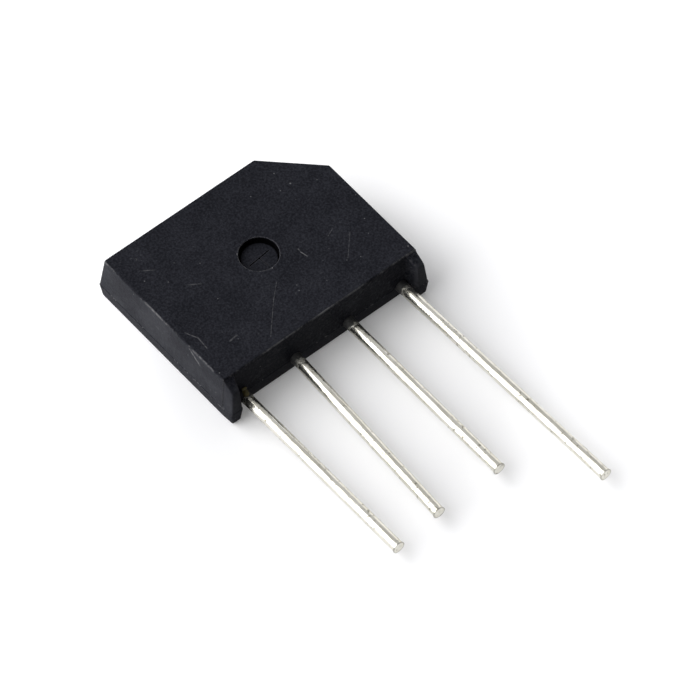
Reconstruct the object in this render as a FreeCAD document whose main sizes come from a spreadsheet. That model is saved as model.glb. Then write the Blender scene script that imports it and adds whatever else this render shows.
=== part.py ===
import FreeCAD, Part
import math
import os
import Sketcher
from FreeCAD import Placement, Rotation, Vector

# A single-in-line bridge rectifier: a flat moulded block with four round leads.
# Frame, in millimetres: the origin is the centre of the moulding's underside, +X runs along
# the row of leads from minus to plus, -Y points the way the leads leave, and +Z points up
# through the broad top face. The leads lie in the mould's parting plane.

doc = FreeCAD.newDocument("bridge_rectifier")
sheet = doc.addObject("Spreadsheet::Sheet", "Sizes")

SIZES = [
    # Moulding: its largest outline is at the parting line, and it narrows up and down from there
    ("body_width", 14.35, "across the row of leads"),
    ("body_depth", 11.08, "from the front wall to the back wall"),
    ("body_thickness", 3.40, "from the underside to the top face"),
    ("parting_height", 1.05, "from the underside to the parting line"),
    ("parting_step", 0.04, "how far the lower half stands proud at the parting line"),
    ("corner_chamfer", 3.20, "leg of the cut corner that marks the plus lead"),
    ("top_inset_side", 0.25, "draft of the side walls, parting line to top face"),
    ("top_inset_back", 0.33, "draft of the back wall"),
    ("top_inset_corner", 0.29, "draft of the cut corner"),
    ("top_inset_front", 0.10, "lean of the front wall"),
    ("bottom_inset", 0.12, "draft of all walls, parting line to underside"),
    # Stand-off feet at both ends of the front wall
    ("foot_reach", 0.80, "from the front wall to the end of a foot"),
    ("foot_root_width", 1.08, "width of a foot where it leaves the front wall"),
    ("foot_flank_angle", 3.6, "turn of a foot's outer face towards the middle"),
    ("foot_inner_angle", 15.7, "turn of a foot's inner face away from the middle"),
    ("foot_inset_top", 0.13, "draft of a foot's end face and inner face"),
    ("flank_step", 0.10, "how far a foot's outer face stands back above the parting line"),
    ("shoulder_drop", 0.10, "from the top face down to where a foot's shoulder starts"),
    ("shoulder_angle", 33.0, "fall of a foot's shoulder below level"),
    # Rounding of the mould's edges
    ("rim_round", 0.08, "edges of the top face"),
    ("sole_round", 0.12, "edges of the underside"),
    ("corner_round", 0.16, "upright corners of the block"),
    ("foot_round", 0.10, "edge between a foot's shoulder and its end face"),
    ("recess_round", 0.22, "inner corners between a foot and the front wall"),
    # Ejector marks
    ("mark_diameter", 2.32, "round sunk mark in the top face"),
    ("mark_depth", 0.40, "depth of that mark"),
    ("mark_offset", 0.05, "from the block's centre towards the leads"),
    ("score_length", 1.53, "long score across the mark's floor"),
    ("score_width", 0.07, "width of both scores"),
    ("score_depth", 0.05, "depth of both scores"),
    ("score_angle", 6.0, "turn of the scores about the upright axis"),
    ("sole_mark_diameter", 2.0, "round ejector marks in the underside"),
    ("sole_mark_depth", 0.06, "depth of those marks"),
    ("sole_mark_spacing", 7.6, "centre to centre of those marks"),
    # Leads: drawn wire, flattened inside the moulding
    ("lead_pitch", 3.81, "between neighbouring leads"),
    ("lead_diameter", 0.72, "of the drawn wire"),
    ("length_plus", 17.15, "from the front wall to the tip of the plus lead"),
    ("length_ac_right", 13.05, "the same for the right input lead"),
    ("length_ac_left", 13.15, "the same for the left input lead"),
    ("length_minus", 13.48, "the same for the minus lead"),
    ("splay_plus", 1.6, "turn of the plus lead outside the wall, away from the minus side"),
    ("splay_ac_right", 0.2, "the same for the right input lead"),
    ("splay_ac_left", -2.4, "the same for the left input lead"),
    ("splay_minus", 0.5, "the same for the minus lead"),
    ("bend_length", 0.90, "of wire over which each lead makes its turn, from the coining outwards"),
    ("burr_length", 0.16, "length of the flare left by the cropping tool at each tip"),
    ("burr_height", 0.035, "how far the flare stands out from the wire"),
    # Inner ends of the leads: flat blades, of which the outer two turn into bars under the dice
    ("root_depth", 0.10, "from the front wall in to where the coining starts"),
    ("coining_length", 0.80, "over which the round wire turns flat"),
    ("bar_width", 1.60, "of the flattened wire"),
    ("bar_thickness", 0.25, "of the flattened wire"),
    ("bar_setback", 3.54, "from the front wall to the middle of the minus bar"),
    ("bar_spacing", 4.00, "from there to the middle of the plus bar"),
    ("bar_overhang", 0.15, "of a blade past its last die"),
    ("bar_corner", 1.00, "outer corner where a blade turns into its bar"),
    ("rise_angle", 45.0, "slope of the input leads' step up over the minus bar"),
    ("rise_clearance", 0.30, "between the end of that step and the minus bar's edge"),
    # Dice and solder
    ("die_width", 1.50, "side of a square silicon die"),
    ("die_thickness", 0.25, "of a die"),
    ("die_bevel", 0.10, "etched slope round a die's junction face"),
    ("solder_width", 1.20, "side of a square solder layer"),
    ("solder_thickness", 0.05, "of a solder layer"),
]

for row, (alias, number, note) in enumerate(SIZES, start=1):
    sheet.set(f"A{row}", note)
    sheet.set(f"B{row}", str(number))
    sheet.setAlias(f"B{row}", alias)
doc.recompute()


def value(expression):
    """Number that an expression on the sheet gives."""
    return float(sheet.evalExpression(expression))


# Places that several pieces share, as expressions on the sheet
HALF_WIDTH = "Sizes.body_width / 2"
HALF_DEPTH = "Sizes.body_depth / 2"
TOP = "Sizes.body_thickness"
PARTING = "Sizes.parting_height"
SHOULDER_START = "(Sizes.body_thickness - Sizes.shoulder_drop)"
FRONT_LEAN = "(Sizes.top_inset_front / (Sizes.body_thickness - Sizes.parting_height))"
WIRE_RADIUS = "Sizes.lead_diameter / 2"
STACK_RISE = "(Sizes.bar_thickness + Sizes.die_thickness + 2 * Sizes.solder_thickness)"
MINUS_BAR = "Sizes.bar_setback"
PLUS_BAR = "(Sizes.bar_setback + Sizes.bar_spacing)"
BLADE_START = "(Sizes.root_depth + Sizes.coining_length)"
BLADE_END = "(Sizes.die_width / 2 + Sizes.bar_overhang)"
CUT_MARGIN = 1.0


def new_body(label):
    body = doc.addObject("PartDesign::Body", label)
    body.Label = label
    return body


def plane(body, role):
    return next(item for item in body.Origin.OriginFeatures if item.Role == role)


def new_sketch(body, name, role, height="0"):
    """Empty sketch on an origin plane of its body, moved along the plane's normal."""
    sketch = body.newObject("Sketcher::SketchObject", name)
    sketch.AttachmentSupport = [(plane(body, role), "")]
    sketch.MapMode = "FlatFace"
    sketch.setExpression("AttachmentOffset.Base.z", height)
    return sketch


def bind(sketch, kind, where, expression):
    """Dimension whose value follows the sheet."""
    index = sketch.addConstraint(Sketcher.Constraint(kind, *where, value(expression)))
    sketch.setExpression(f"Constraints[{index}]", expression)


def bind_point(sketch, edge, end, x, y):
    """Places one end of an edge, measured from the sketch's origin."""
    bind(sketch, "DistanceX", (-1, 1, edge, end), x)
    bind(sketch, "DistanceY", (-1, 1, edge, end), y)


def polygon(body, name, role, height, corners):
    """Closed outline with straight sides, each corner an (x, y) pair of expressions."""
    sketch = new_sketch(body, name, role, height)
    points = [Vector(value(x), value(y), 0) for x, y in corners]
    count = len(points)
    for index, point in enumerate(points):
        sketch.addGeometry(Part.LineSegment(point, points[(index + 1) % count]), False)
    for index in range(count):
        sketch.addConstraint(Sketcher.Constraint("Coincident", index, 2, (index + 1) % count, 1))
    for index, (x, y) in enumerate(corners):
        bind_point(sketch, index, 1, x, y)
    return sketch


def rounded_polygon(body, name, role, height, corners, radius):
    """Closed outline whose corners are one point each, or two where an arc rounds them."""
    sketch = new_sketch(body, name, role, height)
    size = value(radius)
    count = len(corners)
    for index, corner in enumerate(corners):
        leave, arrive = corner[-1], corners[(index + 1) % count][0]
        ends = [Vector(value(x), value(y), 0) for x, y in (leave, arrive)]
        line = sketch.addGeometry(Part.LineSegment(*ends), False)
        bind_point(sketch, line, 1, *leave)
        bind_point(sketch, line, 2, *arrive)
    for index, corner in enumerate(corners):
        before = (index - 1) % count
        if len(corner) == 1:
            continue
        first, last = (Vector(value(x), value(y), 0) for x, y in corner)
        came_from = sketch.Geometry[before].StartPoint
        chord = last - first
        turns_left = (first - came_from).cross(chord).z > 0
        side = Vector(-chord.y, chord.x, 0).normalize() * (1 if turns_left else -1)
        centre = (first + last) / 2 + side * math.sqrt(size ** 2 - (chord.Length / 2) ** 2)
        # An arc runs anticlockwise, so a right turn's arc starts at the corner's second point
        ends = [first, last] if turns_left else [last, first]
        angles = [math.atan2(end.y - centre.y, end.x - centre.x) for end in ends]
        round_corner = Part.ArcOfCircle(Part.Circle(centre, Vector(0, 0, 1), size), *angles)
        arc = sketch.addGeometry(round_corner, False)
        near_end, far_end = (1, 2) if turns_left else (2, 1)
        sketch.addConstraint(Sketcher.Constraint("Coincident", before, 2, arc, near_end))
        sketch.addConstraint(Sketcher.Constraint("Coincident", arc, far_end, index, 1))
        bind(sketch, "Radius", (arc,), radius)
    return sketch


def rectangle(body, name, role, height, width, depth, middle=("0", "0")):
    """Rectangle of the given width and depth about its middle."""
    x, y = middle
    left, right = f"{x} - {width} / 2", f"{x} + {width} / 2"
    low, high = f"{y} - {depth} / 2", f"{y} + {depth} / 2"
    corners = [(left, low), (right, low), (right, high), (left, high)]
    return polygon(body, name, role, height, corners)


def circle(body, name, role, height, diameter, middle=("0", "0")):
    """Circle of the given diameter about its middle."""
    x, y = middle
    sketch = new_sketch(body, name, role, height)
    centre = Vector(value(x), value(y), 0)
    sketch.addGeometry(Part.Circle(centre, Vector(0, 0, 1), value(diameter) / 2), False)
    bind_point(sketch, 0, 3, x, y)
    bind(sketch, "Diameter", (0,), diameter)
    return sketch


def pad(body, name, sketch, length, side_type="One side"):
    feature = body.newObject("PartDesign::Pad", name)
    feature.Profile = sketch
    feature.setExpression("Length", length)
    feature.SideType = side_type
    return feature


def loft(body, name, first, *others):
    feature = body.newObject("PartDesign::AdditiveLoft", name)
    feature.Profile = first
    feature.Sections = list(others)
    feature.Ruled = True
    return feature


def pipe(body, name, profile, path):
    feature = body.newObject("PartDesign::AdditivePipe", name)
    feature.Profile = profile
    feature.Spine = path
    feature.Transition = "Right corner"
    return feature


def pocket(body, name, sketch, depth=None, reversed_side=False):
    """Sinks a sketch into the body, right through if no depth is given, and proves it cut."""
    doc.recompute()
    before = body.Shape.Volume
    feature = body.newObject("PartDesign::Pocket", name)
    feature.Profile = sketch
    feature.Reversed = reversed_side
    if depth:
        feature.setExpression("Length", depth)
    else:
        feature.Type = "ThroughAll"
        feature.SideType = "Symmetric"
    doc.recompute()
    if body.Shape.Volume >= before:
        raise RuntimeError(f"{name} cuts nothing")
    return feature


def dress(body, kind, name, dimension, expression, chosen):
    """Fillet or chamfer on the edges of the body that the test picks."""
    doc.recompute()
    base = body.Tip
    edges = [f"Edge{n}" for n, edge in enumerate(base.Shape.Edges, start=1) if chosen(edge)]
    if not edges:
        raise RuntimeError(f"{name} has no edges")
    feature = body.newObject(kind, name)
    feature.Base = (base, edges)
    feature.setExpression(dimension, expression)
    return feature


def fillet(body, name, radius, chosen):
    return dress(body, "PartDesign::Fillet", name, "Radius", radius, chosen)


def near(first, second, slack=1e-4):
    return abs(first - second) < slack


def spans(edge):
    """Width, depth and height of the box round a straight edge."""
    start, end = edge.Vertexes[0].Point, edge.Vertexes[-1].Point
    return abs(end.x - start.x), abs(end.y - start.y), abs(end.z - start.z)


def block_outline(body, name, height, side, back, corner, front):
    """The block's five-sided plan, pulled in from the parting outline by the insets."""
    x_side = f"({HALF_WIDTH} - {side})"
    y_back = f"({HALF_DEPTH} - {back})"
    y_front = f"(-{HALF_DEPTH} + {front})"
    # The cut corner lies on the line x + y = corner_sum
    corner_sum = f"({HALF_WIDTH} + {HALF_DEPTH} - Sizes.corner_chamfer - sqrt(2) * {corner})"
    y_cut = f"({corner_sum} - {x_side})"
    x_cut = f"({corner_sum} - {y_back})"
    radius = "Sizes.corner_round"
    # An arc starts this far from a right-angled corner's point, and this far from a half-right one's
    square = radius
    blunt = f"({radius} * tan(22.5))"
    slant = f"({blunt} * sqrt(0.5))"
    corners = [
        [(f"-{x_side} + {square}", y_back), (f"-{x_side}", f"{y_back} - {square}")],
        [(f"-{x_side}", y_front)],
        [(x_side, y_front)],
        [(x_side, f"{y_cut} - {blunt}"), (f"{x_side} - {slant}", f"{y_cut} + {slant}")],
        [(f"{x_cut} + {slant}", f"{y_back} - {slant}"), (f"{x_cut} - {blunt}", y_back)],
    ]
    return rounded_polygon(body, name, "XY_Plane", height, corners, radius)


def foot_outline(body, name, height, turn, side, front, foot):
    """Plan of one foot, with its root sunk into the block; turn is -1 left and 1 right."""
    x_side = f"({HALF_WIDTH} - {side})"
    y_front = f"(-{HALF_DEPTH} + {front})"
    y_end = f"(-{HALF_DEPTH} - Sizes.foot_reach + {foot})"
    x_root = f"({HALF_WIDTH} - Sizes.foot_root_width + {foot})"
    foot_length = f"({y_front} - {y_end})"
    x_outer = f"({x_side} - tan(Sizes.foot_flank_angle) * {foot_length})"
    x_inner = f"({x_root} + tan(Sizes.foot_inner_angle) * {foot_length})"
    y_sunk = f"({y_front} + Sizes.foot_root_width / 2)"
    # The round between the inner face and the front wall starts this far from their corner
    radius = "Sizes.recess_round"
    start = f"({radius} * tan(45 - Sizes.foot_inner_angle / 2))"
    x_round = f"({x_root} + {start} * sin(Sizes.foot_inner_angle))"
    y_round = f"({y_front} - {start} * cos(Sizes.foot_inner_angle))"
    x_wall = f"({x_root} - {start})"
    corners = [
        [(f"{turn} * {x_side}", y_front)],
        [(f"{turn} * {x_outer}", y_end)],
        [(f"{turn} * {x_inner}", y_end)],
        [(f"{turn} * {x_round}", y_round), (f"{turn} * {x_wall}", y_front)],
        [(f"{turn} * {x_wall}", y_sunk)],
        [(f"{turn} * ({x_side} - Sizes.foot_root_width / 2)", y_sunk)],
    ]
    return rounded_polygon(body, name, "XY_Plane", height, corners, radius)


def build_moulding():
    """The moulded block, still solid: the leads and dice are cut out of it further down."""
    body = new_body("moulding_blank")
    add_block(body)
    for name, turn in (("Left", -1), ("Right", 1)):
        add_foot(body, name, turn)
    cut_shoulders(body)
    round_feet(body)
    sink_marks(body)
    return body


def add_block(body):
    """Two tapered halves that meet at the parting line, with the rim of the top face rounded."""
    inset = "Sizes.bottom_inset"
    step = "Sizes.parting_step"
    sole = block_outline(body, "SoleOutline", "0", inset, inset, inset, inset)
    line = block_outline(body, "PartingOutline", PARTING, "0", "0", "0", "0")
    loft(body, "LowerHalf", sole, line)
    upper = block_outline(body, "UpperOutline", PARTING, step, step, step, step)
    top = block_outline(
        body,
        "TopOutline",
        TOP,
        "Sizes.top_inset_side",
        "Sizes.top_inset_back",
        "Sizes.top_inset_corner",
        "Sizes.top_inset_front",
    )
    loft(body, "UpperHalf", upper, top)
    top_height = value(TOP)

    def on_rim(edge):
        return all(near(vertex.Z, top_height) for vertex in edge.Vertexes)

    fillet(body, "RimRounds", "Sizes.rim_round", on_rim)


def add_foot(body, name, turn):
    """One stand-off foot in front of the block, as high as where its shoulder starts."""
    inset = "Sizes.bottom_inset"
    step = "Sizes.parting_step"
    # How much of the upper half's draft is reached where the shoulder starts
    share = f"(({SHOULDER_START} - {PARTING}) / ({TOP} - {PARTING}))"
    side = f"({step} + {share} * (Sizes.top_inset_side - {step}) + Sizes.flank_step)"
    front = f"({step} + {share} * (Sizes.top_inset_front - {step}))"
    sole = foot_outline(body, f"FootSole{name}", "0", turn, inset, inset, inset)
    line = foot_outline(body, f"FootLine{name}", PARTING, turn, "0", "0", "0")
    loft(body, f"LowerFoot{name}", sole, line)
    set_back = f"({step} + Sizes.flank_step)"
    upper = foot_outline(body, f"FootUpper{name}", PARTING, turn, set_back, step, step)
    top = foot_outline(
        body, f"FootTop{name}", SHOULDER_START, turn, side, front, "Sizes.foot_inset_top"
    )
    loft(body, f"UpperFoot{name}", upper, top)


def cut_shoulders(body):
    """Slopes both feet down from just under the rim of the top face."""
    y_wall = f"(-{HALF_DEPTH} + Sizes.top_inset_front - Sizes.shoulder_drop * {FRONT_LEAN})"
    y_clear = f"(-{HALF_DEPTH} - Sizes.foot_reach - {CUT_MARGIN})"
    z_clear = f"({SHOULDER_START} - tan(Sizes.shoulder_angle) * ({y_wall} - {y_clear}))"
    z_above = f"({TOP} + {CUT_MARGIN})"
    corners = [(y_wall, SHOULDER_START), (y_clear, z_clear), (y_clear, z_above), (y_wall, z_above)]
    sketch = polygon(body, "ShoulderProfile", "YZ_Plane", "0", corners)
    pocket(body, "Shoulders", sketch)


def round_feet(body):
    """Rounds the ends of the feet's shoulders, and the sole of the whole moulding."""
    y_middle = value(f"-{HALF_DEPTH} - Sizes.foot_reach / 2")
    z_middle = value(f"({TOP} + {PARTING}) / 2")

    def on_shoulder(edge):
        width, depth, height = spans(edge)
        middle = edge.CenterOfMass
        return near(depth + height, 0) and middle.y < y_middle and middle.z > z_middle

    def on_sole(edge):
        return all(near(vertex.Z, 0) for vertex in edge.Vertexes)

    fillet(body, "FootRounds", "Sizes.foot_round", on_shoulder)
    fillet(body, "SoleRounds", "Sizes.sole_round", on_sole)


def sink_marks(body):
    """Round ejector marks: one in the top face with two scores on its floor, two below."""
    y_mark = "-Sizes.mark_offset"
    floor = f"({TOP} - Sizes.mark_depth)"
    middle = ("0", y_mark)
    rim = circle(body, "MarkRim", "XY_Plane", TOP, "Sizes.mark_diameter", middle)
    pocket(body, "Mark", rim, "Sizes.mark_depth")
    half = "Sizes.score_width / 2"
    ahead = "Sizes.score_length / 2"
    corners = [
        (f"-{ahead}", f"-{half}"),
        (f"-{half}", f"-{half}"),
        (f"-{half}", f"-{ahead}"),
        (half, f"-{ahead}"),
        (half, f"-{half}"),
        (ahead, f"-{half}"),
        (ahead, half),
        (f"-{ahead}", half),
    ]
    scores = polygon(body, "ScoreOutline", "XY_Plane", floor, corners)
    scores.setExpression("AttachmentOffset.Base.y", y_mark)
    scores.setExpression("AttachmentOffset.Rotation.Angle", "Sizes.score_angle")
    pocket(body, "Scores", scores, "Sizes.score_depth")
    spacing = "Sizes.sole_mark_spacing / 2"
    for side, x in (("Left", f"-{spacing}"), ("Right", spacing)):
        diameter = "Sizes.sole_mark_diameter"
        ring = circle(body, f"SoleRing{side}", "XY_Plane", "0", diameter, (x, "0"))
        pocket(body, f"SoleMark{side}", ring, "Sizes.sole_mark_depth", reversed_side=True)


# Each lead has a frame of its own: its origin is where the wire's axis meets the front wall,
# and its axes are the part's.
def place_lead(body, pitches):
    body.setExpression("Placement.Base.x", f"{pitches} * Sizes.lead_pitch")
    body.setExpression("Placement.Base.y", f"-{HALF_DEPTH}")
    body.setExpression("Placement.Base.z", "Sizes.parting_height")


def bend_radius(splay):
    """Radius, to the wire's centre, that turns a wire by its splay over the length of the bend."""
    return f"(Sizes.bend_length * 180 / (pi * abs({splay})))"


def tip_point(length, splay):
    """Tip of a lead in its own frame, past the bend outside the wall."""
    # The directions before and after the bend meet at a corner this far outside the wall
    corner = f"({bend_radius(splay)} * tan(abs({splay}) / 2) - Sizes.root_depth)"
    run = f"({length} - {corner})"
    return f"{run} * sin({splay})", f"-{corner} - {run} * cos({splay})"


def crop_tip(body, length, splay):
    """Small flare that the cropping tool leaves at the tip of a wire."""
    x_tip, y_tip = tip_point(length, splay)
    flare = body.newObject("PartDesign::AdditiveCone", "CroppedTip")
    flare.AttachmentSupport = [(plane(body, "XZ_Plane"), "")]
    flare.MapMode = "FlatFace"
    # The cone grows along the wire from its start, a flare's length short of the tip
    flare.AttachmentOffset = Placement(Vector(0, 0, 0), Rotation(Vector(0, 1, 0), 1))
    flare.setExpression("AttachmentOffset.Rotation.Angle", splay)
    flare.setExpression("AttachmentOffset.Base.x", f"{x_tip} - Sizes.burr_length * sin({splay})")
    flare.setExpression("AttachmentOffset.Base.z", f"-({y_tip}) - Sizes.burr_length * cos({splay})")
    flare.setExpression("Radius1", WIRE_RADIUS)
    flare.setExpression("Radius2", f"{WIRE_RADIUS} + Sizes.burr_height")
    flare.setExpression("Height", "Sizes.burr_length")


def wire_section(body, name, height):
    """Round section in four quarter arcs, so that it can turn into a four-sided one."""
    sketch = new_sketch(body, name, "XZ_Plane", height)
    radius = value(WIRE_RADIUS)
    around = Vector(0, 0, 1)
    for quarter in range(4):
        start = math.radians(45 + 90 * quarter)
        ring = Part.Circle(Vector(0, 0, 0), around, radius)
        sketch.addGeometry(Part.ArcOfCircle(ring, start, start + math.pi / 2), False)
    for quarter in range(4):
        following = (quarter + 1) % 4
        sketch.addConstraint(Sketcher.Constraint("Coincident", quarter, 2, following, 1))
    half_chord = f"{WIRE_RADIUS} * sqrt(0.5)"
    for quarter, (x_sign, y_sign) in enumerate(((1, 1), (-1, 1), (-1, -1), (1, -1))):
        x, y = f"{x_sign} * {half_chord}", f"{y_sign} * {half_chord}"
        bind_point(sketch, quarter, 1, x, y)
        bind(sketch, "Radius", (quarter,), WIRE_RADIUS)
    return sketch


def wire_path(body, length, splay):
    """Path of a wire from its tip, through its gentle bend, to its root just inside the wall."""
    tip = tip_point(length, splay)
    radius = value(bend_radius(splay))
    turn = math.radians(value(splay))
    side = math.copysign(1, turn)
    root = Vector(0, value("Sizes.root_depth"), 0)
    bend_end = root + Vector(side * (1 - math.cos(turn)), -math.sin(abs(turn)), 0) * radius
    around_bend = Part.Circle(root + Vector(side * radius, 0, 0), Vector(0, 0, 1), radius)
    # An arc runs anticlockwise, so a bend to the left starts at its outer end
    angles = (math.pi, math.pi + turn) if turn > 0 else (turn, 0)
    inner_end, outer_end = (1, 2) if turn > 0 else (2, 1)
    sketch = new_sketch(body, "WirePath", "XY_Plane")
    tip_end = Vector(value(tip[0]), value(tip[1]), 0)
    sketch.addGeometry(Part.LineSegment(tip_end, bend_end), False)
    sketch.addGeometry(Part.ArcOfCircle(around_bend, *angles), False)
    sketch.addConstraint(Sketcher.Constraint("Tangent", 0, 2, 1, outer_end))
    bind_point(sketch, 0, 1, *tip)
    bind_point(sketch, 1, inner_end, "0", "Sizes.root_depth")
    bind(sketch, "DistanceY", (-1, 1, 1, 3), "Sizes.root_depth")
    bind(sketch, "Radius", (1,), bend_radius(splay))
    return sketch


def build_wire(body, length, splay):
    """Round wire from its cropped tip to its root in the wall, and the coining past that."""
    root = wire_section(body, "RootSection", "-Sizes.root_depth")
    pipe(body, "Wire", root, wire_path(body, length, splay))
    height = f"-{BLADE_START}"
    flat = rectangle(body, "FlatSection", "XZ_Plane", height, "Sizes.bar_width", "Sizes.bar_thickness")
    loft(body, "Coining", root, flat)
    crop_tip(body, length, splay)


def build_bar_lead(label, pitches, length, splay, y_bar, turn):
    """Plus or minus lead, whose blade turns into the bar under two dice.

    turn is -1 where the bar runs to the left of its lead and 1 where it runs to the right.
    """
    body = new_body(label)
    place_lead(body, pitches)
    build_wire(body, length, splay)
    half = "Sizes.bar_width / 2"
    corner = "Sizes.bar_corner"
    x_end = f"{turn} * (2 * Sizes.lead_pitch + {BLADE_END})"
    x_outer, x_inner = f"{-turn} * {half}", f"{turn} * {half}"
    y_near, y_far = f"({y_bar} - {half})", f"({y_bar} + {half})"
    corners = [
        [(x_outer, BLADE_START)],
        [(x_inner, BLADE_START)],
        [(x_inner, y_near)],
        [(x_end, y_near)],
        [(x_end, y_far)],
        [(f"{x_outer} + {turn} * {corner}", y_far), (x_outer, f"{y_far} - {corner}")],
    ]
    outline = rounded_polygon(body, "BladeOutline", "XY_Plane", "0", corners, corner)
    pad(body, "Blade", outline, "Sizes.bar_thickness", "Symmetric")
    return body


def build_input_lead(label, pitches, length, splay):
    """Input lead, whose blade steps up over the minus bar and lies on two dice."""
    body = new_body(label)
    place_lead(body, pitches)
    build_wire(body, length, splay)
    half = "Sizes.bar_thickness / 2"
    # Where the blade bends, its faces' corners lie this far before and after its middle's
    miter = f"{half} * tan(Sizes.rise_angle / 2)"
    y_risen = f"({MINUS_BAR} - Sizes.bar_width / 2 - Sizes.rise_clearance - {miter})"
    y_foot = f"({y_risen} - {STACK_RISE} / tan(Sizes.rise_angle))"
    y_end = f"({PLUS_BAR} + {BLADE_END})"
    corners = [
        (BLADE_START, f"-{half}"),
        (f"{y_foot} + {miter}", f"-{half}"),
        (f"{y_risen} + {miter}", f"{STACK_RISE} - {half}"),
        (y_end, f"{STACK_RISE} - {half}"),
        (y_end, f"{STACK_RISE} + {half}"),
        (f"{y_risen} - {miter}", f"{STACK_RISE} + {half}"),
        (f"{y_foot} - {miter}", half),
        (BLADE_START, half),
    ]
    profile = polygon(body, "BladeProfile", "YZ_Plane", "0", corners)
    pad(body, "Blade", profile, "Sizes.bar_width", "Symmetric")
    return body


def build_die(label, x, y, face_down):
    """Silicon die on the bar, its bevelled junction face up, or down where the diode is turned."""
    body = new_body(label)
    square = rectangle(body, "Outline", "XY_Plane", "0", "Sizes.die_width", "Sizes.die_width")
    pad(body, "Die", square, "Sizes.die_thickness")
    thickness = value("Sizes.die_thickness")

    def on_top(edge):
        return all(near(vertex.Z, thickness) for vertex in edge.Vertexes)

    dress(body, "PartDesign::Chamfer", "Bevel", "Size", "Sizes.die_bevel", on_top)
    base = "Sizes.parting_height + Sizes.bar_thickness / 2 + Sizes.solder_thickness"
    if face_down:
        body.Placement = Placement(Vector(0, 0, 0), Rotation(Vector(1, 0, 0), 180))
        base = f"{base} + Sizes.die_thickness"
    body.setExpression("Placement.Base.x", x)
    body.setExpression("Placement.Base.y", y)
    body.setExpression("Placement.Base.z", base)
    return body


def build_solder(label, x, y, above_die):
    """Thin square solder layer under a die, or over it."""
    layer = doc.addObject("Part::Box", label)
    layer.Label = label
    base = "Sizes.parting_height + Sizes.bar_thickness / 2"
    if above_die:
        base = f"{base} + Sizes.solder_thickness + Sizes.die_thickness"
    layer.setExpression("Length", "Sizes.solder_width")
    layer.setExpression("Width", "Sizes.solder_width")
    layer.setExpression("Height", "Sizes.solder_thickness")
    layer.setExpression("Placement.Base.x", f"{x} - Sizes.solder_width / 2")
    layer.setExpression("Placement.Base.y", f"{y} - Sizes.solder_width / 2")
    layer.setExpression("Placement.Base.z", base)
    return layer


def build_inner_pieces():
    """Four leads, and a soldered die wherever an input lead crosses a bar."""
    pieces = [
        build_bar_lead(
            "lead_minus", -1.5, "Sizes.length_minus", "Sizes.splay_minus", MINUS_BAR, 1
        ),
        build_input_lead("lead_ac_left", -0.5, "Sizes.length_ac_left", "Sizes.splay_ac_left"),
        build_input_lead("lead_ac_right", 0.5, "Sizes.length_ac_right", "Sizes.splay_ac_right"),
        build_bar_lead(
            "lead_plus", 1.5, "Sizes.length_plus", "Sizes.splay_plus", PLUS_BAR, -1
        ),
    ]
    columns = (("left", "-0.5 * Sizes.lead_pitch"), ("right", "0.5 * Sizes.lead_pitch"))
    rows = (("minus", MINUS_BAR, True), ("plus", PLUS_BAR, False))
    for column, x in columns:
        for rail, setback, face_down in rows:
            y = f"({setback} - {HALF_DEPTH})"
            place = f"{rail}_{column}"
            pieces.append(build_die(f"die_{place}", x, y, face_down))
            pieces.append(build_solder(f"solder_under_{place}", x, y, above_die=False))
            pieces.append(build_solder(f"solder_over_{place}", x, y, above_die=True))
    return pieces


def build_moulded_body(blank, pieces):
    """The moulding with the room that the inner pieces take up cut out of it."""
    insert = doc.addObject("Part::MultiFuse", "Insert")
    insert.Shapes = pieces
    moulded = doc.addObject("Part::Cut", "moulded_body")
    moulded.Label = "moulded_body"
    moulded.Base = blank
    moulded.Tool = insert
    return moulded


inner_pieces = build_inner_pieces()
moulded_body = build_moulded_body(build_moulding(), inner_pieces)
doc.recompute()

for item in doc.Objects:
    faults = {"Invalid", "Error"} & set(item.State)
    if faults:
        raise RuntimeError(f"{item.Label} is {', '.join(faults)}")

os.makedirs("parts", exist_ok=True)
for piece in [moulded_body] + inner_pieces:
    shape = piece.Shape
    if shape.isNull() or not shape.isValid() or len(shape.Solids) != 1:
        raise RuntimeError(f"{piece.Label} isn't one valid solid")
    shape.exportStep(f"parts/{piece.Label}.step")
    print(f"{piece.Label}: {shape.Volume:.3f} mm3, {len(shape.Faces)} faces")
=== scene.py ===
import math
import random

import bmesh
import bpy
from mathutils import Matrix, Vector
from mathutils.geometry import tessellate_polygon


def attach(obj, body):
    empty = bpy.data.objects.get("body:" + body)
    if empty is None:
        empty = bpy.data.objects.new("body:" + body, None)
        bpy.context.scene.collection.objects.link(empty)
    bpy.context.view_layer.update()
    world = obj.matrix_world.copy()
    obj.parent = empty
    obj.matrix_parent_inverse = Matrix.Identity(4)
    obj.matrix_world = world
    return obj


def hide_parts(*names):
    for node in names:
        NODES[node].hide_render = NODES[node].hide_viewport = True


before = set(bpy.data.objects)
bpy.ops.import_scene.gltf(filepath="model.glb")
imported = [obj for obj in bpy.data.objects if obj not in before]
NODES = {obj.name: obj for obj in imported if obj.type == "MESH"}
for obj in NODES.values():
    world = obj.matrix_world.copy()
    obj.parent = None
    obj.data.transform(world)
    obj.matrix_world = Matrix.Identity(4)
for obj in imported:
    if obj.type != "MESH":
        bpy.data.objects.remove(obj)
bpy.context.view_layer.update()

MM = 0.001
LEADS = ("lead_minus", "lead_ac_left", "lead_ac_right", "lead_plus")
DICE = [name for name in NODES if name.startswith("die_")]
SOLDER = [name for name in NODES if name.startswith("solder_")]

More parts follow.
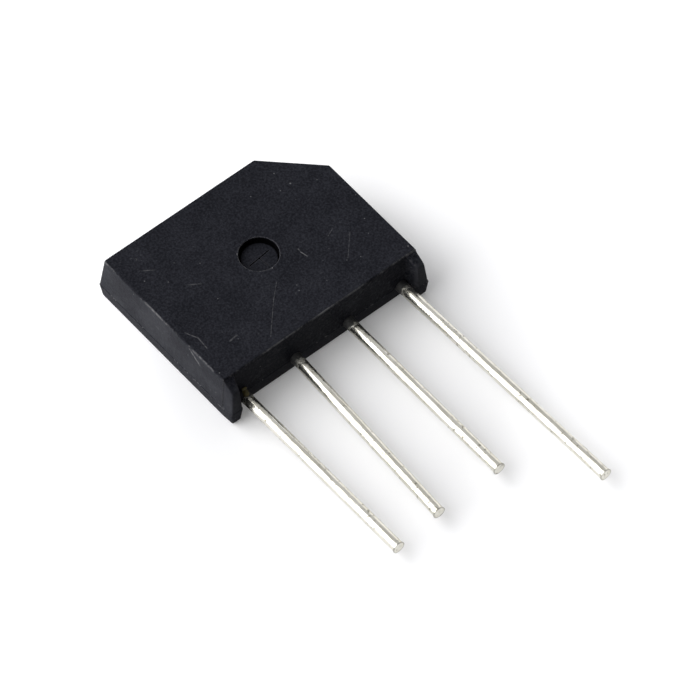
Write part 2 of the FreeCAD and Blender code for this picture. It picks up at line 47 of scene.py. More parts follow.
# Sizes in millimetres and degrees, as in the part's source, with softened steps
HALF_WIDTH, HALF_DEPTH = 14.35 / 2, 11.08 / 2
TOP, PARTING, PARTING_STEP = 3.40, 1.05, 0.02
CORNER_CHAMFER, CORNER_ROUND = 3.20, 0.16
TOP_INSETS = {"side": 0.25, "back": 0.33, "corner": 0.29, "front": 0.10, "foot": 0.13}
BOTTOM_INSET, SOLE_ROUND, RIM_ROUND = 0.12, 0.12, 0.08
FOOT_REACH, FOOT_ROOT_WIDTH, FLANK_STEP = 0.80, 1.08, 0.03
FLANK_ANGLE, INNER_ANGLE, RECESS_ROUND = 3.6, 15.7, 0.22
FOOT_OUTER_ROUND, FOOT_INNER_ROUND, FLANK_ROUND = 0.11, 0.09, 0.05
SHOULDER_START, SHOULDER_ANGLE, SHOULDER_BLEND = 3.30, 33.0, 0.10
MARK_MIDDLE, MARK_RADIUS, MARK_FLOOR, GROOVE_DEPTH = (0.0, -0.05), 1.16, 3.00, 0.05
SCORE_LENGTH, SCORE_WIDTH, SCORE_DEPTH, SCORE_ANGLE = 1.53, 0.07, 0.05, 6.0
SOLE_MARKS, SOLE_MARK_RADIUS, SOLE_MARK_DEPTH = (-3.8, 3.8), 1.0, 0.06
LEAD_PITCH, WIRE_RADIUS, ROOT_DEPTH, BEND_LENGTH = 3.81, 0.36, 0.10, 0.90
SPLAYS = {"lead_minus": 0.5, "lead_ac_left": -2.4, "lead_ac_right": 0.2, "lead_plus": 1.6}
EDGE_UNEVENNESS, SHARP_ANGLE, WELD_DISTANCE = 0.006, 38.0, 0.0005

# Rings of the sunk mark from its surround inwards: extra radius, height and roughness
MARK_RINGS = (
    (0.10, TOP, 0.0),
    (0.03, TOP, 0.018),
    (0.0, TOP - 0.035, 0.012),
    (-0.01, MARK_FLOOR - GROOVE_DEPTH, 0.0),
    (-0.07, MARK_FLOOR - GROOVE_DEPTH, 0.0),
    (-0.10, MARK_FLOOR, 0.008),
)
# Thickness of a resin collar at shares of its length, from the wall outwards
COLLAR_PROFILE = ((0.0, 0.024), (0.25, 0.016), (0.6, 0.010), (0.9, 0.004), (1.0, -0.006))
# Middles and half sizes of the smears of dried flux
SMEARS = (
    ((-5.68, -5.80, 1.34), (0.27, 0.29, 0.16)),
    ((-5.60, -5.60, 1.50), (0.16, 0.11, 0.16)),
)
# Scratches seen on the moulding: points, half width and strength
SCRATCHES = (
    (((-0.46, -2.18, TOP), (-1.36, -3.02, TOP), (-3.05, -4.85, TOP)), 0.030, 0.360),
    (((1.89, -1.20, TOP), (1.88, -1.47, TOP), (1.97, -1.90, TOP)), 0.045, 0.640),
    (((3.74, -1.59, TOP), (4.30, -1.34, TOP)), 0.035, 0.400),
    (((4.85, -2.17, TOP), (3.63, -3.48, TOP)), 0.040, 0.240),
    (((-6.53, -1.58, TOP), (-6.19, -2.31, TOP), (-6.24, -3.16, TOP)), 0.045, 0.560),
    (((-4.96, -3.62, TOP), (-4.41, -3.56, TOP)), 0.070, 0.360),
    (((-0.10, -5.43, 3.38), (0.69, -5.39, 3.38)), 0.050, 0.720),
    (((2.46, -5.50, 2.58), (3.63, -5.48, 3.16)), 0.060, 0.280),
    (((-6.98, -2.48, 3.21), (-7.02, -3.43, 2.70)), 0.090, 0.960),
    (((-7.17, -5.20, 1.00), (-7.17, -5.60, 0.98)), 0.080, 0.720),
)
# Middles and radii of the larger light specks and chips
SPECKS = (
    ((2.45, -2.71, TOP), 0.06),
    ((-5.04, 2.06, TOP), 0.05),
    ((-6.76, -4.92, TOP), 0.07),
    ((6.72, -5.02, TOP), 0.09),
    ((4.43, 2.60, TOP), 0.10),
    ((-0.03, -1.27, TOP), 0.09),
    ((-0.93, 0.73, TOP), 0.09),
)

# Middle of the part with its leads, where the floor glows least
GLOW_MIDDLE = (-1.0, -8.0)

# Linear colours
WHITE = (1.0, 1.0, 1.0, 1)
FLOOR_SEEN, FLOOR_BOUNCED = (0.86, 0.86, 0.875, 1), (0.40, 0.40, 0.41, 1)
MOULDING_DARK, MOULDING_PALE = (0.0070, 0.0074, 0.0104, 1), (0.0250, 0.0260, 0.0330, 1)
# The first is painted light for the side walls and feet; the second colours scratches, dust and
# wear
WALL_PAINTED_LIGHT, CHALKY = (0.050, 0.051, 0.058, 1), (0.145, 0.145, 0.150, 1)
# Painted shade that darkens the sunk mark's wall, groove and score
MARK_PAINTED_SHADE = (0.0006, 0.0006, 0.0010, 1)
TIN_DULL, TIN_BRIGHT = (0.66, 0.64, 0.56, 1), (0.86, 0.84, 0.78, 1)
# The first is painted shade for the rims of the wire tips; the second colours the specks
TIP_PAINTED_SHADE, TIN_SPECK = (0.10, 0.095, 0.07, 1), (0.15, 0.135, 0.09, 1)
RESIN_DARK, RESIN_PALE = (0.006, 0.006, 0.007, 1), (0.055, 0.055, 0.053, 1)
COLLAR_PALE = (0.040, 0.040, 0.041, 1)
FLUX_DARK, FLUX_PALE = (0.05, 0.038, 0.008, 1), (0.24, 0.20, 0.07, 1)
SILICON_DARK, SILICON_PALE = (0.10, 0.11, 0.13, 1), (0.20, 0.21, 0.24, 1)
SOLDER_DARK, SOLDER_PALE = (0.40, 0.40, 0.41, 1), (0.55, 0.55, 0.56, 1)


class Signal:
    """Output of a node. Arithmetic on it adds Math nodes to its finish."""

    def __init__(self, finish, socket):
        self.finish = finish
        self.socket = socket

    def __add__(self, other):
        return self.finish.maths("ADD", self, other)

    def __sub__(self, other):
        return self.finish.maths("SUBTRACT", self, other)

    def __rsub__(self, other):
        return self.finish.maths("SUBTRACT", other, self)

    def __mul__(self, other):
        return self.finish.maths("MULTIPLY", self, other)

    def __pow__(self, other):
        return self.finish.maths("POWER", self, other)

    __radd__ = __add__
    __rmul__ = __mul__


class Finish:
    """Material or world whose nodes all come from one method."""

    def __init__(self, owner):
        owner.use_nodes = True
        self.owner = owner
        self.tree = owner.node_tree
        self.tree.nodes.clear()

    def node(self, kind, settings=None, inputs=None, output=0):
        """Adds a node and returns one of its outputs; signals among its inputs are linked."""
        node = self.tree.nodes.new(kind)
        for key, setting in (settings or {}).items():
            setattr(node, key, setting)
        for key, entry in (inputs or {}).items():
            if isinstance(entry, Signal):
                self.tree.links.new(entry.socket, node.inputs[key])
            else:
                node.inputs[key].default_value = entry
        return Signal(self, node.outputs[output]) if node.outputs else node

    def maths(self, operation, *values, clamp=False):
        settings = {"operation": operation, "use_clamp": clamp}
        return self.node("ShaderNodeMath", settings, dict(enumerate(values)))

    def vector(self, operation, *values, output="Vector", **named):
        inputs = {**dict(enumerate(values)), **named}
        return self.node("ShaderNodeVectorMath", {"operation": operation}, inputs, output)

    def place(self):
        """Object coordinates in millimetres."""
        metres = self.node("ShaderNodeTexCoord", output="Object")
        return self.vector("SCALE", metres, Scale=1 / MM)

    def split(self, vector):
        """The three parts of a vector."""
        first = self.node("ShaderNodeSeparateXYZ", inputs={0: vector})
        return [Signal(self, socket) for socket in first.socket.node.outputs]

    def noise(self, place, per_mm, detail=2.0, roughness=0.5, seed=0.0):
        """Noise value from 0 to 1, with about per_mm blotches to a millimetre."""
        inputs = {
            "Vector": place,
            "W": seed,
            "Scale": per_mm,
            "Detail": detail,
            "Roughness": roughness,
        }
        return self.node("ShaderNodeTexNoise", {"noise_dimensions": "4D"}, inputs)

    def ramp(self, signal, low, high):
        """0 below low and 1 above high, with a smooth step between; high may be the smaller."""
        inputs = {"Value": signal, "From Min": low, "From Max": high}
        return self.node("ShaderNodeMapRange", {"interpolation_type": "SMOOTHSTEP"}, inputs)

    def blend(self, factor, first, second):
        """Colour between first and second."""
        settings = {"data_type": "RGBA"}
        inputs = {0: factor, 6: first, 7: second}
        return self.node("ShaderNodeMix", settings, inputs, output=2)

    def segment(self, place, start, end):
        """Distance in millimetres from the straight run between two points."""
        along = Vector(end) - Vector(start)
        offset = self.vector("SUBTRACT", place, start)
        scaled = along / along.length_squared
        share = self.vector("DOT_PRODUCT", offset, scaled, output="Value")
        foot = self.vector("SCALE", along, Scale=self.maths("ADD", share, 0.0, clamp=True))
        return self.vector("DISTANCE", offset, foot, output="Value")

    def bump(self, height, distance):
        """Normal of a relief as high as the distance in millimetres."""
        return self.node("ShaderNodeBump", inputs={"Height": height, "Distance": distance * MM})

    def edge(self, radius):
        """0 on flat faces, rising on edges as round as the radius or sharper."""
        flat = self.node("ShaderNodeNewGeometry", output="Normal")
        softened = self.node(
            "ShaderNodeBevel", {"samples": 6}, {"Radius": radius * MM}, output="Normal"
        )
        return 1.0 - self.vector("DOT_PRODUCT", flat, softened, output="Value")

    def surface(self, **inputs):
        """The material itself, once its Principled shader has these inputs."""
        shader = self.node(
            "ShaderNodeBsdfPrincipled",
            inputs={key.replace("_", " "): entry for key, entry in inputs.items()},
        )
        self.node("ShaderNodeOutputMaterial", inputs={"Surface": shader})
        return self.owner


def add_mesh(name, mesh, material):
    """Puts a finished mesh in the scene as a piece that rides with the part."""
    piece = bpy.data.objects.new(name, mesh)
    bpy.context.scene.collection.objects.link(piece)
    mesh.materials.clear()
    mesh.materials.append(material)
    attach(piece, "root")
    return piece


def set_camera():
    """Camera at the photograph's angle, from a fit to the part's corners."""
    azimuth, elevation, roll = (math.radians(angle) for angle in (-37.869, 55.185, -1.94))
    distance, focal_px, frame_px, sensor_mm = 414.6, 7449.8, 700, 36.0
    target = Vector((0.332, -7.623, 2.0)) * MM
    back = Vector(
        (
            math.sin(azimuth) * math.cos(elevation),
            -math.cos(azimuth) * math.cos(elevation),
            math.sin(elevation),
        )
    )
    level_right = Vector((0, 0, 1)).cross(back).normalized()
    level_up = back.cross(level_right)
    right = level_right * math.cos(roll) + level_up * math.sin(roll)
    up = level_up * math.cos(roll) - level_right * math.sin(roll)
    camera = bpy.data.objects.new("camera", bpy.data.cameras.new("camera"))
    bpy.context.scene.collection.objects.link(camera)
    turn = Matrix((right, up, back)).transposed().to_4x4()
    camera.matrix_world = Matrix.Translation(target + back * distance * MM) @ turn
    camera.data.sensor_width = sensor_mm
    camera.data.lens = focal_px / frame_px * sensor_mm
    camera.data.clip_start = 0.01
    camera.data.clip_end = 10
    bpy.context.scene.camera = camera


def add_floor():
    """Pale floor that fades into the white background away from the part."""
    half, level = 0.6, -0.00002
    corners = [(-half, -half), (half, -half), (half, half), (-half, half)]
    mesh = bpy.data.meshes.new("floor")
    mesh.from_pydata([(x, y, level) for x, y in corners], [], [(0, 1, 2, 3)])
    floor = bpy.data.objects.new("floor", mesh)
    bpy.context.scene.collection.objects.link(floor)

    finish = Finish(bpy.data.materials.new("floor"))
    seen = seen_directly(finish)
    pale = finish.node("ShaderNodeBsdfDiffuse", inputs={"Color": FLOOR_SEEN})
    dim = finish.node("ShaderNodeBsdfDiffuse", inputs={"Color": FLOOR_BOUNCED})
    matte = finish.node("ShaderNodeMixShader", inputs={0: seen, 1: dim, 2: pale})
    x, y = finish.split(finish.place())[:2]
    east, north = x - GLOW_MIDDLE[0], y - GLOW_MIDDLE[1]
    away = finish.ramp((east * east + north * north) ** 0.5, 8.0, 14.0)
    strength = seen * (away * 0.16 + 0.15)
    glow = finish.node("ShaderNodeEmission", inputs={"Color": WHITE, "Strength": strength})
    both = finish.node("ShaderNodeAddShader", inputs={0: matte, 1: glow})
    finish.node("ShaderNodeOutputMaterial", inputs={"Surface": both})
    mesh.materials.append(finish.owner)


def seen_directly(finish):
    """1 for rays from the camera and for those mirrored or passed on by metal and glass."""
    camera, glossy, transmitted = (
        finish.node("ShaderNodeLightPath", output=name)
        for name in ("Is Camera Ray", "Is Glossy Ray", "Is Transmission Ray")
    )
    return finish.maths("MAXIMUM", finish.maths("MAXIMUM", camera, glossy), transmitted)


def light_scene():
    """Pale surroundings that darken towards the front, and soft lamps behind, left and right."""
    world = bpy.data.worlds.new("surroundings")
    bpy.context.scene.world = world
    finish = Finish(world)
    sideways, depth = finish.split(finish.node("ShaderNodeTexCoord", output="Generated"))[:2]
    behind = finish.ramp(depth, -0.35, 0.25)
    left = finish.ramp(sideways, 0.1, -0.8)
    level = 0.07 + behind * (0.53 + left * 0.42)
    camera_ray = finish.node("ShaderNodeLightPath", output="Is Camera Ray")
    strength = camera_ray + (1.0 - camera_ray) * level
    background = finish.node("ShaderNodeBackground", inputs={"Color": WHITE, "Strength": strength})
    finish.node("ShaderNodeOutputWorld", inputs={"Surface": background})
    add_softbox("softbox_left", (-0.68, 0.45, 0.58), 0.26, (0.42, 0.34), 2.6)
    add_softbox("softbox_right", (0.90, 0.40, 0.25), 0.30, (0.20, 0.16), 0.6)
    bpy.context.scene.view_settings.view_transform = "Standard"


def add_softbox(name, direction, distance, size, radiance):
    """Rectangular lamp that faces the part and shows as a panel of the given brightness."""
    lamp = bpy.data.lights.new(name, "AREA")
    lamp.shape = "RECTANGLE"
    lamp.size, lamp.size_y = size
    lamp.energy = radiance * math.pi * size[0] * size[1]
    panel = bpy.data.objects.new(name, lamp)
    bpy.context.scene.collection.objects.link(panel)
    towards = Vector(direction).normalized()
    facing = towards.to_track_quat("Z", "Y").to_matrix().to_4x4()
    panel.matrix_world = Matrix.Translation(towards * distance) @ facing
    panel.visible_camera = False


def moulding_finish():
    """Black moulding compound: mottling, painted light on the side walls and feet, light wear and
    painted shade in the sunk mark.
    """
    finish = Finish(bpy.data.materials.new("black_moulding"))
    place = finish.place()
    fine = finish.noise(place, 8.0, detail=4.0, roughness=0.7)
    broad = finish.noise(place, 0.55, detail=3.0, seed=3.0)
    crumbs = finish.noise(place, 5.0, seed=9.0)
    mottled = finish.ramp(fine * 0.8 + broad * 0.2, 0.36, 0.66)
    colour = finish.blend(mottled, MOULDING_DARK, MOULDING_PALE)
    # Painted light: the side walls and feet are lightened where light falls on them
    colour = finish.blend(painted_wall_light(finish, place, fine, broad, crumbs), colour, WALL_PAINTED_LIGHT)
    marks = scratches(finish, place, crumbs) + dust(finish, place, crumbs) * 0.8
    marks = marks + worn_edges(finish, place, broad, crumbs)
    colour = finish.blend(finish.maths("MINIMUM", marks, 1.0), colour, CHALKY)
    # Painted shade in the sunk mark's wall, groove and score
    mark_shade = painted_mark_shade(finish, place)
    return finish.surface(
        Base_Color=finish.blend(mark_shade, colour, MARK_PAINTED_SHADE),
        Roughness=0.43 + broad * 0.12 + fine * 0.12 + mark_shade * 0.4,
        Specular_IOR_Level=0.035,
        Normal=finish.bump(fine, 0.016),
    )


def painted_wall_light(finish, place, fine, broad, crumbs):
    """Painted light: side walls and feet painted paler for the light that falls on them, and
    patchy paler spots on the front wall, all above the parting line.
    """
    x, y, z = finish.split(place)
    sides = finish.ramp(finish.maths("ABSOLUTE", x), HALF_WIDTH - 0.50, HALF_WIDTH - 0.20)
    feet = finish.ramp(y, -HALF_DEPTH - 0.36, -HALF_DEPTH - 0.61)
    front = finish.ramp(y, -HALF_DEPTH + 0.54, -HALF_DEPTH + 0.34)
    uneven = finish.ramp(broad, 0.35, 0.60) * 0.35 + crumbs * 0.5 + 0.05
    patchy = finish.ramp(crumbs * 0.7 + broad * 0.5 + fine * 0.3, 0.72, 0.92)
    lit_walls = finish.maths("MAXIMUM", sides, feet) * uneven
    lit_walls = finish.maths("MAXIMUM", lit_walls, front * patchy * 0.45)
    lit_walls = lit_walls * finish.ramp(z, PARTING - 0.05, PARTING + 0.10)
    return lit_walls * finish.ramp(z, TOP - 0.02, TOP - 0.10)


def scratches(finish, place, crumbs):
    """The scratches seen on the part among a few finer ones, all broken up by the crumbs."""
    scratched = scattered(finish, place, (0.10, 1.0, 1.0), 35, 0.8, 0.050) * 0.30
    scratched = scattered(finish, place, (1.0, 0.08, 1.0), -20, 0.7, 0.045) * 0.30 + scratched
    for points, width, strength in SCRATCHES:
        for start, end in zip(points, points[1:]):
            line = finish.ramp(finish.segment(place, start, end), width, width * 0.3)
            scratched = line * strength + scratched
    return scratched * (finish.ramp(crumbs, 0.38, 0.58) * 0.75 + 0.25)


def dust(finish, place, crumbs):
    """Light specks: small ones all over, and the larger ones seen on the part."""
    dusty = scattered(finish, place, (1.0, 1.0, 1.0), 0, 1.3, 0.065) * 0.85
    for middle, radius in SPECKS:
        away = finish.vector("DISTANCE", place, middle, output="Value")
        dusty = finish.ramp(away + crumbs * 0.05, radius, radius * 0.5) + dusty
    return dusty


def scattered(finish, place, stretch, turn, per_mm, radius):
    """Sparse round specks, or short scratches where one axis is stretched."""
    turned = finish.node(
        "ShaderNodeVectorRotate",
        {"rotation_type": "Z_AXIS"},
        {"Vector": place, "Angle": math.radians(turn)},
    )
    inputs = {
        "Vector": finish.vector("MULTIPLY", turned, stretch),
        "Scale": per_mm,
        "Randomness": 1.0,
    }
    near = finish.node("ShaderNodeTexVoronoi", inputs=inputs, output="Distance")
    return finish.ramp(near, radius, radius * 0.4)


def around_mark(finish, place):
    """Offsets and distance from the sunk mark's middle, and 1 within its surround."""
    x, y = finish.split(place)[:2]
    east, north = x - MARK_MIDDLE[0], y - MARK_MIDDLE[1]
    away = (east * east + north * north) ** 0.5
    return east, north, away, finish.ramp(away, MARK_RADIUS + 0.25, MARK_RADIUS + 0.15)


def worn_edges(finish, place, broad, crumbs):
    """Light edges, stretches along the top rim and dots along the parting line."""
    away, near_mark = around_mark(finish, place)[2:]
    z = finish.split(place)[2]
    worn = finish.ramp(finish.edge(0.10) * 3.2 + crumbs * 0.8 + broad * 0.4, 0.70, 1.05)
    worn = worn * (finish.ramp(away, MARK_RADIUS - 0.10, MARK_RADIUS) * 0.8 + 0.2)
    rim = finish.ramp(z, TOP - 0.002, TOP - 0.02) * finish.ramp(z, TOP - 0.13, TOP - 0.10)
    rim = rim * finish.ramp(crumbs * 0.35 + broad * 0.65, 0.42, 0.58) * (1.0 - near_mark)
    seam = finish.ramp(z, PARTING - 0.06, PARTING - 0.01)
    seam = seam * finish.ramp(z, PARTING + 0.08, PARTING + 0.03)
    dots = seam * finish.ramp(crumbs, 0.60, 0.66)
    return worn * (near_mark * 0.15 + 0.55) + rim * 0.70 + dots * 0.5


def painted_mark_shade(finish, place):
    """Painted shade: 1 on the dark wall, the floor's edge and the long score of the sunk mark
    above, where shade falls in these hollows.
    """
    east, north, away, near_mark = around_mark(finish, place)
    z = finish.split(place)[2]
    wall = finish.ramp(away, MARK_RADIUS - 0.17, MARK_RADIUS - 0.10) * near_mark
    wall = wall * finish.ramp(z, TOP - 0.02, TOP - 0.08)
    scored = finish.ramp(z, MARK_FLOOR - 0.01, MARK_FLOOR - 0.03) * near_mark
    across = north - east * math.tan(math.radians(SCORE_ANGLE))
    scored = scored * finish.ramp(across, -0.10, -0.05)
    return finish.maths("MAXIMUM", wall, scored) * finish.ramp(z, 2.0, 2.4)


def wire_finish():
    """Bright tinned wire: drawing marks, dark specks, painted shade on the tip rims and resin at
    the roots.
    """
    finish = Finish(bpy.data.materials.new("tinned_wire"))
    place = finish.place()
    streaks = finish.noise(finish.vector("MULTIPLY", place, (1, 0.10, 1)), 6.0, detail=3.0)
    waves = finish.noise(place, 1.6, seed=5.0)
    pits = finish.noise(place, 4.5, seed=7.0)
    crumbs = finish.noise(place, 6.0, detail=1.0, seed=4.0)
    small = finish.ramp(crumbs, 0.61, 0.69) * finish.ramp(waves, 0.40, 0.52)
    large = finish.ramp(pits, 0.65, 0.71)
    specks = finish.maths("MAXIMUM", small * 0.80, large * 0.80)
    # Painted shade on the rims of the cut tips, where a burr's edge turns dark
    tip_shade = finish.ramp(finish.edge(0.16) * 6.0 + pits * 0.8, 0.75, 1.20)
    colour = finish.blend(finish.ramp(streaks, 0.3, 0.8), TIN_DULL, TIN_BRIGHT)
    colour = finish.blend(tip_shade * 0.8, colour, TIP_PAINTED_SHADE)
    colour = finish.blend(specks, colour, TIN_SPECK)

    # Moulding resin that crept along the wire, thick at the wall and ragged at its end
    y = finish.split(place)[1]
    crept = y + pits * 0.9 + waves * 0.35
    flash = finish.ramp(crept, -HALF_DEPTH - 0.08, -HALF_DEPTH + 0.24)
    resin = finish.blend(finish.ramp(pits, 0.3, 0.7), RESIN_DARK, RESIN_PALE)
    return finish.surface(
        Base_Color=finish.blend(flash, colour, resin),
        Metallic=(1.0 - specks * 0.5) * (1.0 - flash),
        Roughness=0.15 + streaks * 0.14 + flash * 0.45 + specks * 0.2,
        Normal=finish.bump(waves * 1.2 + streaks * 0.4 + flash * 0.15, 0.024),
    )


def grained_finish(name, dark, pale, metallic, roughness, per_mm):
    """Plain finish with a fine grain, for the pieces inside, the collars and the flux."""
    finish = Finish(bpy.data.materials.new(name))
    grain = finish.noise(finish.place(), per_mm, detail=3.0)
    return finish.surface(
        Base_Color=finish.blend(grain, dark, pale),
        Metallic=metallic,
        Roughness=roughness + grain * 0.15,
        Normal=finish.bump(grain, 0.004),
    )


def smooth_step(low, high, number):
    """0 below low and 1 above high, with a smooth step between."""
    share = min(max((number - low) / (high - low), 0.0), 1.0)
    return share * share * (3 - 2 * share)


def insets(level):
    """How far each wall stands in from the parting outline at a level."""
    if level <= PARTING:
        inset = BOTTOM_INSET * (1 - level / PARTING)
        corner = max(SOLE_ROUND - level, 0.0)
        inset += SOLE_ROUND - math.sqrt(SOLE_ROUND**2 - corner**2)
        return dict.fromkeys(TOP_INSETS, inset)
    share = (level - PARTING) / (TOP - PARTING)
    step = PARTING_STEP * smooth_step(PARTING, PARTING + 0.06, level)
    rim = max(level - (TOP - RIM_ROUND), 0.0)
    rounded = RIM_ROUND - math.sqrt(max(RIM_ROUND**2 - rim**2, 0.0))
    return {
        wall: step + share * (inset - PARTING_STEP) + rounded for wall, inset in TOP_INSETS.items()
    }


def corner_points(before, corner, after, radius, steps):
    """Points of a rounded corner, pulled together where its sides are too short for the radius."""
    back, ahead = before - corner, after - corner
    if min(back.length, ahead.length) < 1e-6:
        return [corner.copy() for step in range(steps + 1)]
    wanted = radius / max(math.tan(back.angle(ahead) / 2), 1e-3)
    reach = min(wanted, 0.45 * back.length, 0.45 * ahead.length)
    start = corner + back.normalized() * reach
    end = corner + ahead.normalized() * reach
    points = []
    for step in range(steps + 1):
        share = step / steps
        points.append(
            start * (1 - share) ** 2 + corner * 2 * share * (1 - share) + end * share**2
        )
    return points


def outline(level):
    """Plan of the block and both feet at a level, with the same number of points at each."""
    inset = insets(level)
    side, back = HALF_WIDTH - inset["side"], HALF_DEPTH - inset["back"]
    front = -HALF_DEPTH + inset["front"]
    diagonal = HALF_WIDTH + HALF_DEPTH - CORNER_CHAMFER - math.sqrt(2) * inset["corner"]
    end = -HALF_DEPTH - FOOT_REACH + inset["foot"]
    fall = (SHOULDER_START - level) / math.tan(math.radians(SHOULDER_ANGLE))
    shoulder = -HALF_DEPTH + TOP_INSETS["front"] - fall
    # A soft change from the end face to the shoulder, which ends at the front wall
    end = (end + shoulder + math.sqrt((end - shoulder) ** 2 + SHOULDER_BLEND**2)) / 2
    end = min(end, front)
    flank = side - FLANK_STEP * smooth_step(PARTING - 0.02, PARTING + 0.10, level)
    root = HALF_WIDTH - FOOT_ROOT_WIDTH + inset["foot"]
    reach = front - end
    outer = flank - math.tan(math.radians(FLANK_ANGLE)) * reach
    inner = root + math.tan(math.radians(INNER_ANGLE)) * reach
    # Place and radius of each corner, and in how many parts the side after it is cut
    corners = [
        ((-side, back), CORNER_ROUND, 20),
        ((-side, front), FLANK_ROUND, 1),
        ((-flank, front), FLANK_ROUND, 3),
        ((-outer, end), FOOT_OUTER_ROUND, 3),
        ((-inner, end), FOOT_INNER_ROUND, 2),
        ((-root, front), RECESS_ROUND, 24),
        ((root, front), RECESS_ROUND, 2),
        ((inner, end), FOOT_INNER_ROUND, 3),
        ((outer, end), FOOT_OUTER_ROUND, 3),
        ((flank, front), FLANK_ROUND, 1),
        ((side, front), FLANK_ROUND, 16),
        ((side, diagonal - side), CORNER_ROUND, 8),
        ((diagonal - back, back), CORNER_ROUND, 20),
    ]
    places = [Vector((*place, level)) for place, radius, parts in corners]
    points = []
    for index, (place, radius, parts) in enumerate(corners):
        following = (index + 1) % len(places)
        arc = corner_points(places[index - 1], places[index], places[following], radius, 5)
        points.extend(arc)
        leave = arc[-1]
        far = places[(index + 2) % len(places)]
        arrive = corner_points(places[index], places[following], far, corners[following][1], 5)[0]
        points.extend(leave.lerp(arrive, part / parts) for part in range(1, parts))
    return points


def levels():
    """Heights of the slices: close together at the rounds, the parting line and the shoulders."""
    sole = [SOLE_ROUND * (1 - math.cos(math.radians(turn))) for turn in range(0, 91, 15)]
    line = [0.45, 0.80, 0.98, 1.02, 1.05, 1.055, 1.07, 1.09, 1.115, 1.15]
    wall = [1.3, 1.6, 1.9, 2.2, 2.45, 2.55, 2.62, 2.68, 2.74, 2.80, 2.88, 2.96]
    shoulder = [3.04, 3.12, 3.2, 3.26]
    rim = [TOP - RIM_ROUND * (1 - math.sin(math.radians(turn))) for turn in range(0, 91, 15)]
    return sole + line + wall + shoulder + rim


def ring(radius, middle, level, sides=72, rough=0.0, dice=None):
    """Points of a level circle, each up to rough nearer or farther where dice are given."""
    points = []
    for index in range(sides):
        turn = 2 * math.pi * index / sides
        reach = radius + (dice.uniform(-rough, rough) if dice else 0.0)
        points.append(
            Vector((middle[0] + reach * math.cos(turn), middle[1] + reach * math.sin(turn), level))
        )
    return points


def score_outline(level):
    """The two scores that meet on the mark's floor, in the shape of a T."""
    half, ahead = SCORE_WIDTH / 2, SCORE_LENGTH / 2
    leg = [(-half, -half), (-half, -ahead), (half, -ahead), (half, -half)]
    corners = [(-ahead, -half), *leg, (ahead, -half), (ahead, half), (-ahead, half)]
    turn = Matrix.Rotation(math.radians(SCORE_ANGLE), 3, "Z")
    return [turn @ Vector((x, y, 0)) + Vector((*MARK_MIDDLE, level)) for x, y in corners]


def wire_place(lead, distance):
    """Middle of a lead's wire at a distance along it from its root."""
    pitches = LEADS.index(lead) - 1.5
    splay = math.radians(SPLAYS[lead])
    radius = BEND_LENGTH / splay
    turned = splay * min(distance / BEND_LENGTH, 1.0)
    straight = max(distance - BEND_LENGTH, 0.0)
    return Vector(
        (
            pitches * LEAD_PITCH + radius * (1 - math.cos(turned)) + straight * math.sin(splay),
            -HALF_DEPTH + ROOT_DEPTH - radius * math.sin(turned) - straight * math.cos(splay),
            PARTING,
        )
    )


def build_collar(lead, seed):
    """Thin ragged collar of moulding resin that crept along a wire at its root."""
    dice = random.Random(seed)
    sides, start, least = 40, 0.03, 0.12
    waves = [(dice.uniform(0, 6.28), dice.uniform(0.5, 1)) for wave in range(4)]
    mesh = bmesh.new()
    loops = []
    for share, thickness in COLLAR_PROFILE:
        loop = []
        for side in range(sides):
            turn = 2 * math.pi * side / sides
            ragged = sum(
                size * math.sin(order * turn + phase)
                for order, (phase, size) in enumerate(waves, start=2)
            )
            length = 0.28 + 0.20 * (0.45 * ragged + dice.uniform(-0.15, 0.15))
            middle = wire_place(lead, start + share * max(length, least))
            reach = WIRE_RADIUS + thickness * (1 + 0.35 * ragged)
            loop.append(middle + Vector((reach * math.cos(turn), 0, reach * math.sin(turn))))
        loops.append(add_loop(mesh, loop))
    for low, high in zip(loops, loops[1:]):
        bridge(mesh, low, high)
    mesh.faces.new(loops[0])
    mesh.faces.new(loops[-1])
    return finish_mesh(mesh, f"root_flash_{lead}")


def build_smear(name, middle, reach, seed):
    """Small uneven lump of dried flux."""
    dice = random.Random(seed)
    mesh = bmesh.new()
    bmesh.ops.create_icosphere(mesh, subdivisions=4, radius=1.0)
    bulges = [
        (Vector([dice.uniform(-1, 1) for axis in range(3)]).normalized(), dice.uniform(0.1, 0.5))
        for bulge in range(9)
    ]
    for corner in mesh.verts:
        swell = 0.6 + sum(max(corner.co.dot(way), 0) ** 6 * size for way, size in bulges)
        grown = Vector([part * half for part, half in zip(corner.co * swell, reach)])
        corner.co = (grown + Vector(middle)) * MM
    return finish_mesh(mesh, name)


def finish_mesh(mesh, name):
    """Smooth-shaded mesh data from a finished build, with its faces outwards."""
    bmesh.ops.recalc_face_normals(mesh, faces=mesh.faces)
    finished = bpy.data.meshes.new(name)
    mesh.to_mesh(finished)
    mesh.free()
    finished.shade_smooth()
    return finished


def add_loop(mesh, points):
    """New corners of a build at points given in millimetres."""
    return [mesh.verts.new(point * MM) for point in points]


def bridge(mesh, low, high):
    """Faces between two loops of as many points each."""
    count = len(low)
    for index in range(count):
        following = (index + 1) % count
        mesh.faces.new((low[index], low[following], high[following], high[index]))


def cap(mesh, *loops):
    """Flat face inside the first loop, with the other loops left open."""
    corners = [corner for loop in loops for corner in loop]
    for triangle in tessellate_polygon([[corner.co / MM for corner in loop] for loop in loops]):
        mesh.faces.new([corners[index] for index in triangle])


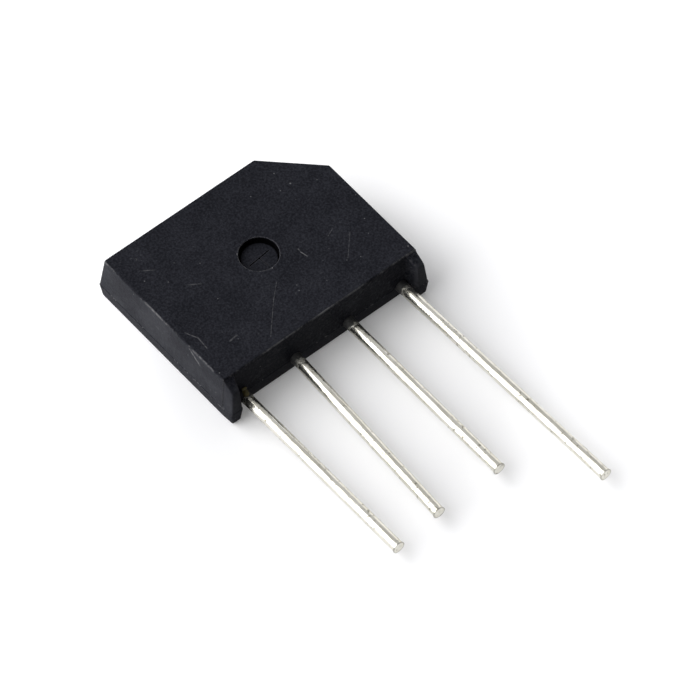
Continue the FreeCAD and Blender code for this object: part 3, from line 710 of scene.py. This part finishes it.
def build_moulding():
    """The moulded block with its feet, lofted through slices, and its sunk ejector marks."""
    dice = random.Random(4)
    mesh = bmesh.new()
    slices = []
    for level in levels():
        # The mould's edges are a little uneven along the rim and the parting line
        at_edge = abs(level - PARTING) < 0.08 or level > TOP - RIM_ROUND
        uneven = EDGE_UNEVENNESS if at_edge else 0.0
        loop = outline(level)
        for point in loop:
            point.x += dice.uniform(-uneven, 0) * math.copysign(1, point.x)
            point.y += dice.uniform(-uneven, 0) * math.copysign(1, point.y)
        slices.append(add_loop(mesh, loop))
    for low, high in zip(slices, slices[1:]):
        bridge(mesh, low, high)

    mark = [
        add_loop(mesh, ring(MARK_RADIUS + wider, MARK_MIDDLE, level, rough=rough, dice=dice))
        for wider, level, rough in MARK_RINGS
    ]
    for low, high in zip(mark, mark[1:]):
        bridge(mesh, low, high)
    score_top, score_bed = (
        add_loop(mesh, score_outline(level)) for level in (MARK_FLOOR, MARK_FLOOR - SCORE_DEPTH)
    )
    bridge(mesh, score_top, score_bed)
    cap(mesh, mark[-1], score_top)
    cap(mesh, score_bed)
    cap(mesh, slices[-1], mark[0])

    sole_rims = []
    for x in SOLE_MARKS:
        rim = add_loop(mesh, ring(SOLE_MARK_RADIUS, (x, 0.0), 0.0, sides=48))
        bed = add_loop(mesh, ring(SOLE_MARK_RADIUS - 0.02, (x, 0.0), SOLE_MARK_DEPTH, sides=48))
        bridge(mesh, rim, bed)
        cap(mesh, bed)
        sole_rims.append(rim)
    cap(mesh, slices[0], *sole_rims)

    bmesh.ops.remove_doubles(mesh, verts=mesh.verts, dist=WELD_DISTANCE * MM)
    finished = finish_mesh(mesh, "moulded_block")
    finished.set_sharp_from_angle(angle=math.radians(SHARP_ANGLE))
    return finished


def dress_node(name, material):
    """Gives a node of the frame a finish of its own."""
    mesh = NODES[name].data
    mesh.materials.clear()
    mesh.materials.append(material)


set_camera()
add_floor()
light_scene()
block = add_mesh("moulded_block", build_moulding(), moulding_finish())
weighting = block.modifiers.new("flat_faces_lead", "WEIGHTED_NORMAL")
weighting.keep_sharp = True
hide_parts("moulded_body")
collar_resin = grained_finish("resin_flash", RESIN_DARK, COLLAR_PALE, 0.0, 0.6, 7.0)
for seed, lead in enumerate(LEADS, start=11):
    add_mesh(f"root_flash_{lead}", build_collar(lead, seed), collar_resin)
flux = grained_finish("dried_flux", FLUX_DARK, FLUX_PALE, 0.0, 0.35, 6.0)
for number, (middle, reach) in enumerate(SMEARS, start=1):
    name = f"flux_smear_{number}"
    add_mesh(name, build_smear(name, middle, reach, seed=number + 4), flux)
wire = wire_finish()
for lead in LEADS:
    dress_node(lead, wire)
silicon = grained_finish("silicon", SILICON_DARK, SILICON_PALE, 0.4, 0.25, 6.0)
for die in DICE:
    dress_node(die, silicon)
solder = grained_finish("soft_solder", SOLDER_DARK, SOLDER_PALE, 1.0, 0.35, 8.0)
for layer in SOLDER:
    dress_node(layer, solder)
